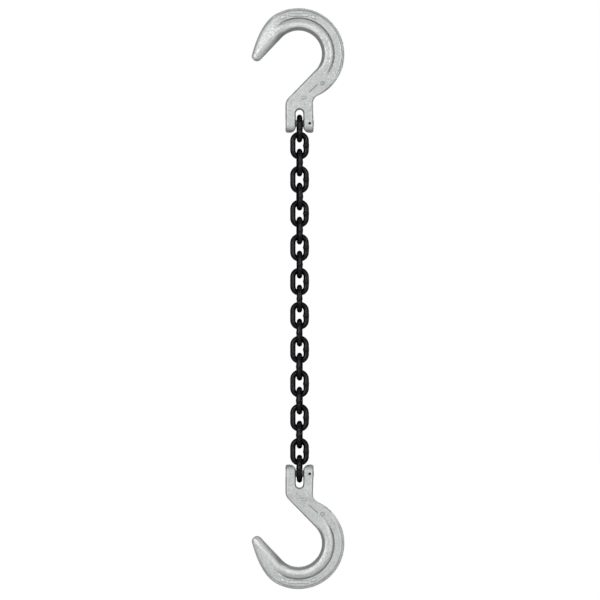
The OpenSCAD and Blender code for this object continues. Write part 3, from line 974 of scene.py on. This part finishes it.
class SLING_OT_hooks(bpy.types.Operator):
    """Forge both foundry hooks: skin, slot, bores and blank raised marks"""

    bl_idname = "sling.hooks"
    bl_label = "Make Hooks"

    def execute(self, context):
        s, pins = context.scene.sling_hook, context.scene.sling_pin
        half = s.slot_half + s.ear_width
        bore = bore_tool(pins.load / 2 + pins.load_fit, half, BORE_CHAMFER, "X")
        hole = bore_tool(pins.keeper / 2 + pins.keeper_fit, s.clevis / 2, HOLE_CHAMFER, "Y")
        hole.transform(Matrix.Translation((pins.keeper_place, 0, 0)))
        mesh = combine(hook_skin(s), marks_tool(s), "UNION")
        for tool in (slot_tool(s), bore, hole):
            mesh = combine(mesh, tool, "DIFFERENCE")
        # Masks of the crest's burnish with its painted highlight, and of the painted shade
        hook_rub_and_highlight(mesh, s)
        hook_painted_shade(mesh, s)
        place_both(mesh, "foundry_hook", "hook", "Silver Forging Coat")
        return {"FINISHED"}


# Links

# Stations on the welded bar, the plain bar and each crown, and points round the bar
WELDED, PLAIN, CROWN, AROUND = 27, 13, 31, 28
# Each weld's own size and its spread, the shares of its swelling and seam, and the seam's reach
WELD_SIZE, WELD_SPREAD, SWELLING, SEAM, SEAM_REACH = 0.86, 0.14, 0.88, 0.12, 0.45 * MM
# The noise of each link's own, the bar's skin, and the lumps of its weld
OWN_SHIFT, SIZE_SHIFT = (7.3, 3.1, 5.7), (0, 9, 0)
SKIN_WAVES, SKIN_DEEP, SKIN_ROUND, SKIN_MEAN = 320, 0.003, 0.5, 0.4
LUMPS, LUMP_SHARE = 1.7, 0.2
# How deep and how wide the crowns are rubbed
RUB_DEEP, RUB_HALF = 1.6 * MM, 3.6 * MM


def link_middle(s):
    """Half the length of a link's straight bar, and the radius of its crown's middle line."""
    crown = (s.inner_width + s.wire) / 2
    return (s.inner_length + s.wire) / 2 - crown, crown


def link_path(s):
    """Centreline of a link: (point, way along, distance from the middle of the welded bar)."""
    bar, crown = link_middle(s)
    rows = []
    for side, steps, first in ((1, WELDED, 0), (-1, PLAIN, math.pi)):
        for z in np.linspace(-side * bar, side * bar, steps)[:-1]:
            rows.append(((side * crown, z), (0, side), z if side > 0 else None))
        for a in np.linspace(first, first + math.pi, CROWN)[:-1]:
            rows.append((polar((0, side * bar), crown, a), (-math.sin(a), math.cos(a)), None))
    return rows


def link_rings(s, number):
    """Rings of a bent and welded link, a little different from link to link."""
    own = Vector([number * shift for shift in OWN_SHIFT])
    drift = s.weld_wander * noise.noise(own)
    size = WELD_SIZE + WELD_SPREAD * noise.noise(own + Vector(SIZE_SHIFT))
    rings = []
    for (x, z), (dx, dz), along in link_path(s):
        ring = []
        swell = 0.0
        if along is not None:
            away = (along - drift) / s.weld_reach
            seam = (along - drift) / SEAM_REACH
            swell = size * (SWELLING * math.exp(-away * away) + SEAM * math.exp(-seam * seam))
        for j in range(AROUND):
            out, up = way(math.tau * j / AROUND)
            spot = Vector((x, SKIN_DEEP * up, z)) * SKIN_WAVES + own
            spot += Vector((out, up, 0)) * SKIN_ROUND
            lift = swell * mix(s.weld_rise, s.weld_inside, (1 - out) / 2)
            lift *= 1 + LUMP_SHARE * noise.noise(spot * LUMPS)
            r = s.wire / 2 + lift + s.unevenness * (noise.noise(spot) - SKIN_MEAN)
            ring.append((x + dz * r * out, -r * up, z - dx * r * out))
        rings.append(ring)
    return rings


def link_rub(mesh, s):
    """Rubbed inside the crowns, where the next links hang."""
    bar, _ = link_middle(s)
    p = positions(mesh)
    inside = np.hypot(p[:, 0], np.abs(p[:, 2]) - bar)
    top = bell(p[:, 0], RUB_HALF) * (np.abs(p[:, 2]) > bar)
    keep_mask(mesh, RUB_AND_HIGHLIGHT_MASK, bell(inside - s.inner_width / 2, RUB_DEEP) * top)


class SLING_OT_links(bpy.types.Operator):
    """Bend and weld the links of the chain"""

    bl_idname = "sling.links"
    bl_label = "Make Links"

    def execute(self, context):
        s = context.scene.sling_chain
        names = sorted(n for n in frame["nodes"] if n.startswith("chain_link_"))
        middle = (len(names) + 1) / 2
        for number, node in enumerate(names, 1):
            lo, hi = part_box(node)
            mesh = out_facing(mesh_of(node, *tube(link_rings(s, number), loop=True)))
            link_rub(mesh, s)
            lay = s.lay_turn * math.sin(math.pi * (middle - number) / s.lay_links)
            edge_on = QUARTER if number % 2 else 0
            spin = Matrix.Rotation(lay - edge_on, 4, "Z")
            mesh.transform(Matrix.Translation((0, 0, (lo.z + hi.z) / 2)) @ spin)
            stand_for(f"link_{number:02d}_bar", mesh, node, "Black Chain Coat")
        return {"FINISHED"}


# Pins

# Load pin: softness of its corners and chamfers, the mark's bottom, and (depth, radius) of its
# countersink. Its barrel has a ring of points every so often, and starts clear of the chamfers.
CORNER_SOFT, CHAMFER_SOFT, CHAMFER_DROP = 0.15 * MM, 0.04 * MM, 0.06 * MM
MARK_BOTTOM, COUNTERSINK = 0.05 * MM, ((0.1 * MM, 0.75 * MM), (0, 0.9 * MM))
BARREL_STEPS, BARREL_CLEAR, BARREL_AROUND, HOLE_AROUND = 24, 1.5 * MM, 48, 32


class SLING_OT_load_pins(bpy.types.Operator):
    """Turn the load pins, chamfered, centred and cross-drilled"""

    bl_idname = "sling.load_pins"
    bl_label = "Make Load Pins"

    def execute(self, context):
        s, hook = context.scene.sling_pin, context.scene.sling_hook
        half = hook.slot_half + hook.ear_width
        end, r, c = half + s.load_proud, s.load / 2, s.chamfer
        face = [
            (s.centre_mark, MARK_BOTTOM), *COUNTERSINK, (0, r - c - CORNER_SOFT),
            (CHAMFER_SOFT, r - c), (c - CHAMFER_SOFT, r - CHAMFER_DROP), (c + CORNER_SOFT, r),
        ]
        barrel = np.linspace(-half + BARREL_CLEAR, end - BARREL_CLEAR, BARREL_STEPS + 1)
        profile = [(depth - half, radius) for depth, radius in face]
        profile += [(along, r) for along in barrel]
        profile += [(end - depth, radius) for depth, radius in reversed(face)]
        mesh = out_facing(round_tool(profile, "X", BARREL_AROUND))
        bore, reach = s.keeper / 2 + s.keeper_fit, r + PAST
        hole = round_tool([(-reach, bore), (reach, bore)], "Y", HOLE_AROUND)
        hole.transform(Matrix.Translation((s.keeper_place, 0, 0)))
        mesh = combine(mesh, hole, "DIFFERENCE")
        place_both(mesh, "turned_pin", "load_pin", "Turned Pin Steel")
        return {"FINISHED"}


# Retaining pin: points along its coil, and how its ends are drawn in
COIL_STEPS, SWAGE, SWAGE_LENGTH = 112, 0.85, 0.3 * MM


class SLING_OT_retaining_pins(bpy.types.Operator):
    """Coil the spring pins that keep the load pins in place"""

    bl_idname = "sling.retaining_pins"
    bl_label = "Make Retaining Pins"

    def execute(self, context):
        s, hook = context.scene.sling_pin, context.scene.sling_hook
        reach = hook.clevis / 2 - s.keeper_sunk
        turns = np.linspace(0, s.keeper_turns, COIL_STEPS)
        outside = s.keeper / 2 - s.keeper_pitch * turns
        coil = list(zip(outside, math.tau * turns))
        coil += [(r - s.keeper_strip, a) for r, a in reversed(coil)]
        rings = []
        for y, drawn in ((reach, SWAGE), (reach - SWAGE_LENGTH, 1)):
            rings.append([(drawn * r * math.cos(a), -y, drawn * r * math.sin(a)) for r, a in coil])
        rings += [[(x, -y, z) for x, y, z in ring] for ring in reversed(rings)]
        mesh = out_facing(mesh_of("keeper", *tube(rings)))
        mesh.transform(Matrix.Translation((s.keeper_place, 0, 0)))
        place_both(mesh, "rolled_pin", "retaining_pin", "Black Spring Steel")
        return {"FINISHED"}


# Finishes


def grains(fine, patches, contrast, **more):
    """Inputs of the forged grain: grains and patches per metre, and their contrast."""
    return {"Grains per Metre": fine, "Patches per Metre": patches, "Contrast": contrast, **more}


class SLING_OT_finishes(bpy.types.Operator):
    """Build the shared node groups and the four finishes"""

    bl_idname = "sling.finishes"
    bl_label = "Make Finishes"

    def execute(self, context):
        s = context.scene.sling_finish
        for build in (grain_group, rub_group, tone_group, turned_group):
            build()
        finish(
            "Silver Forging Coat",
            {
                # The rubbed colour is burnish and a painted highlight on the crest
                "Dark": s.coat_dark, "Light": s.coat_light, "Rubbed Colour": s.coat_rubbed_and_highlight,
                "Smoothest": 0.34, "Roughest": 0.5, "Rubbed Roughness": 0.28,
                # Painted shade on the faces that turn away, by the side mask
                "Side Share": 0.9, "Side Colour": s.side_shade,
            },
            {**grains(500.0, 75.0, 2.3), "Patch Share": 0.2},
            {"Metallic": 0.42, "Specular IOR Level": 0.4},
            (0.5, 0.0008), rub_amount=s.rub, sides=True,
        )
        finish(
            "Black Chain Coat",
            {
                "Dark": s.chain_dark, "Light": s.chain_light, "Rubbed Colour": s.chain_rubbed,
                "Smoothest": 0.2, "Roughest": 0.38, "Rubbed Roughness": 0.24,
            },
            grains(520.0, 120.0, 1.8),
            {"Metallic": 1.0, "Specular Tint": (0.09, 0.09, 0.1, 1)},
            (0.4, 0.0003), rub_amount=s.rub,
        )
        finish(
            "Turned Pin Steel",
            {"Dark": s.steel_dark, "Light": s.steel_light, "Smoothest": 0.3, "Roughest": 0.45},
            grains(900.0, 200.0, 1.5), {"Metallic": 0.7}, (0.12, 0.0002), rings=9000.0,
        )
        finish(
            "Black Spring Steel",
            {"Dark": s.keeper_dark, "Light": s.keeper_light, "Smoothest": 0.55, "Roughest": 0.8},
            grains(1200.0, 300.0, 1.6),
            {"Metallic": 0.0, "Specular IOR Level": 0.08}, (0.15, 0.0002),
        )
        return {"FINISHED"}


# Stage

# Azimuth, elevation and softness of each lamp, in degrees
LAMPS = {"key": (-27, 6, 15), "fill": (30, 6, 15), "back": (172, 14, 40), "top": (20, 76, 30)}
FLOOR_HALF, FLOOR_TONE, FLOOR_LIFT = 6.0, 0.9, 0.6
SENSOR = 36


def seen_mask(tree):
    """A value of 1 for rays that show the background: camera, glossy and transmission rays."""
    rays = tree.nodes.new("ShaderNodeLightPath").outputs
    first = maths(tree, "MAXIMUM", rays["Is Camera Ray"], rays["Is Glossy Ray"])
    return maths(tree, "MAXIMUM", first, rays["Is Transmission Ray"])


def make_world(sky):
    """White where it is seen, and a plain soft level where it lights the sling."""
    world = bpy.data.worlds.new("Studio")
    bpy.context.scene.world = world
    back, tree = own_node(world, "BACKGROUND"), world.node_tree
    level = blended(tree, seen_mask(tree), sky, 1.0)
    set_inputs(tree, back, {"Color": (1, 1, 1, 1), "Strength": level})


def make_floor(height):
    """A wide pale floor. It keeps the sling's shadow, and is clear from below."""
    corners = [(x, y, 0) for x in (-FLOOR_HALF, FLOOR_HALF) for y in (-FLOOR_HALF, FLOOR_HALF)]
    mesh = mesh_of("floor", corners, [(0, 2, 3, 1)])
    floor = add_object("studio_floor", mesh)
    floor.location.z = height
    mat = bpy.data.materials.new("Studio Floor")
    shader, tree = own_node(mat, "BSDF_PRINCIPLED"), mat.node_tree
    set_inputs(tree, shader, {
        "Base Color": (*[FLOOR_TONE] * 3, 1), "Roughness": 1.0,
        "Specular IOR Level": 0.0, "Emission Color": (1, 1, 1, 1),
        "Emission Strength": maths(tree, "MULTIPLY", seen_mask(tree), FLOOR_LIFT),
    })
    side = add_node(tree, "NewGeometry", {}, out="Backfacing")
    clear = add_node(tree, "BsdfTransparent", {})
    both = add_node(tree, "MixShader", {0: side, 1: shader.outputs["BSDF"], 2: clear})
    set_inputs(tree, own_node(mat, "OUTPUT_MATERIAL"), {"Surface": both})
    mesh.materials.append(mat)


def make_sun(name, strength, azimuth, elevation, softness):
    """A soft distant lamp. Azimuth 0 shines from the camera's side, less than 0 from the left."""
    lamp = bpy.data.lights.new(name, "SUN")
    lamp.energy = strength
    lamp.angle = math.radians(softness)
    a, e = math.radians(azimuth), math.radians(elevation)
    source = Vector((math.sin(a) * math.cos(e), -math.cos(a) * math.cos(e), math.sin(e)))
    add_object(name, lamp).rotation_euler = source.to_track_quat("Z", "Y").to_euler()


class SLING_OT_stage(bpy.types.Operator):
    """Set the camera, the studio light and the floor"""

    bl_idname = "sling.stage"
    bl_label = "Make Stage"

    def execute(self, context):
        s, scene = context.scene.sling_stage, context.scene
        camera = bpy.data.cameras.new("Camera")
        camera.sensor_width = SENSOR
        camera.lens = s.lens
        scene.camera = add_object("Camera", camera)
        scene.camera.location = (s.view_x, -s.view_height * s.lens / SENSOR, s.view_z)
        scene.camera.rotation_euler = (QUARTER, 0, 0)
        scene.view_settings.view_transform = "Standard"
        make_world(s.sky)
        for name, place in LAMPS.items():
            make_sun(name.title(), getattr(s, name), *place)
        make_floor(CAD_BOX[0].z - s.floor_gap)
        return {"FINISHED"}


# Panel and registration


class SLING_PT_panel(bpy.types.Panel):
    """Lists the sling's steps and sizes in the 3D view's sidebar"""

    bl_idname = "SLING_PT_panel"
    bl_label = "Chain Sling"
    bl_space_type = "VIEW_3D"
    bl_region_type = "UI"
    bl_category = "Sling"

    def draw(self, context):
        for step in OPERATORS:
            self.layout.operator(step.bl_idname)
        for name, group in GROUPS.items():
            box = self.layout.box()
            box.label(text=name.split("_")[1].title())
            for key in group.__annotations__:
                box.prop(getattr(context.scene, name), key)


GROUPS = {
    "sling_hook": SlingHookSizes,
    "sling_chain": SlingChainSizes,
    "sling_pin": SlingPinSizes,
    "sling_finish": SlingFinishes,
    "sling_stage": SlingStage,
}
OPERATORS = (
    SLING_OT_finishes, SLING_OT_hooks, SLING_OT_links, SLING_OT_load_pins,
    SLING_OT_retaining_pins, SLING_OT_stage,
)
CLASSES = (*GROUPS.values(), *OPERATORS, SLING_PT_panel)


def register():
    """Registers the classes, and gives the scene its properties."""
    for cls in CLASSES:
        bpy.utils.register_class(cls)
    for name, group in GROUPS.items():
        setattr(bpy.types.Scene, name, bpy.props.PointerProperty(type=group))


def unregister():
    """Takes the properties and the classes away again."""
    for name in GROUPS:
        delattr(bpy.types.Scene, name)
    for cls in reversed(CLASSES):
        bpy.utils.unregister_class(cls)


def main():
    """Builds the sling and its stage."""
    register()
    bpy.ops.sling.finishes()
    bpy.ops.sling.hooks()
    bpy.ops.sling.links()
    bpy.ops.sling.load_pins()
    bpy.ops.sling.retaining_pins()
    bpy.ops.sling.stage()


if __name__ == "__main__":
    main()
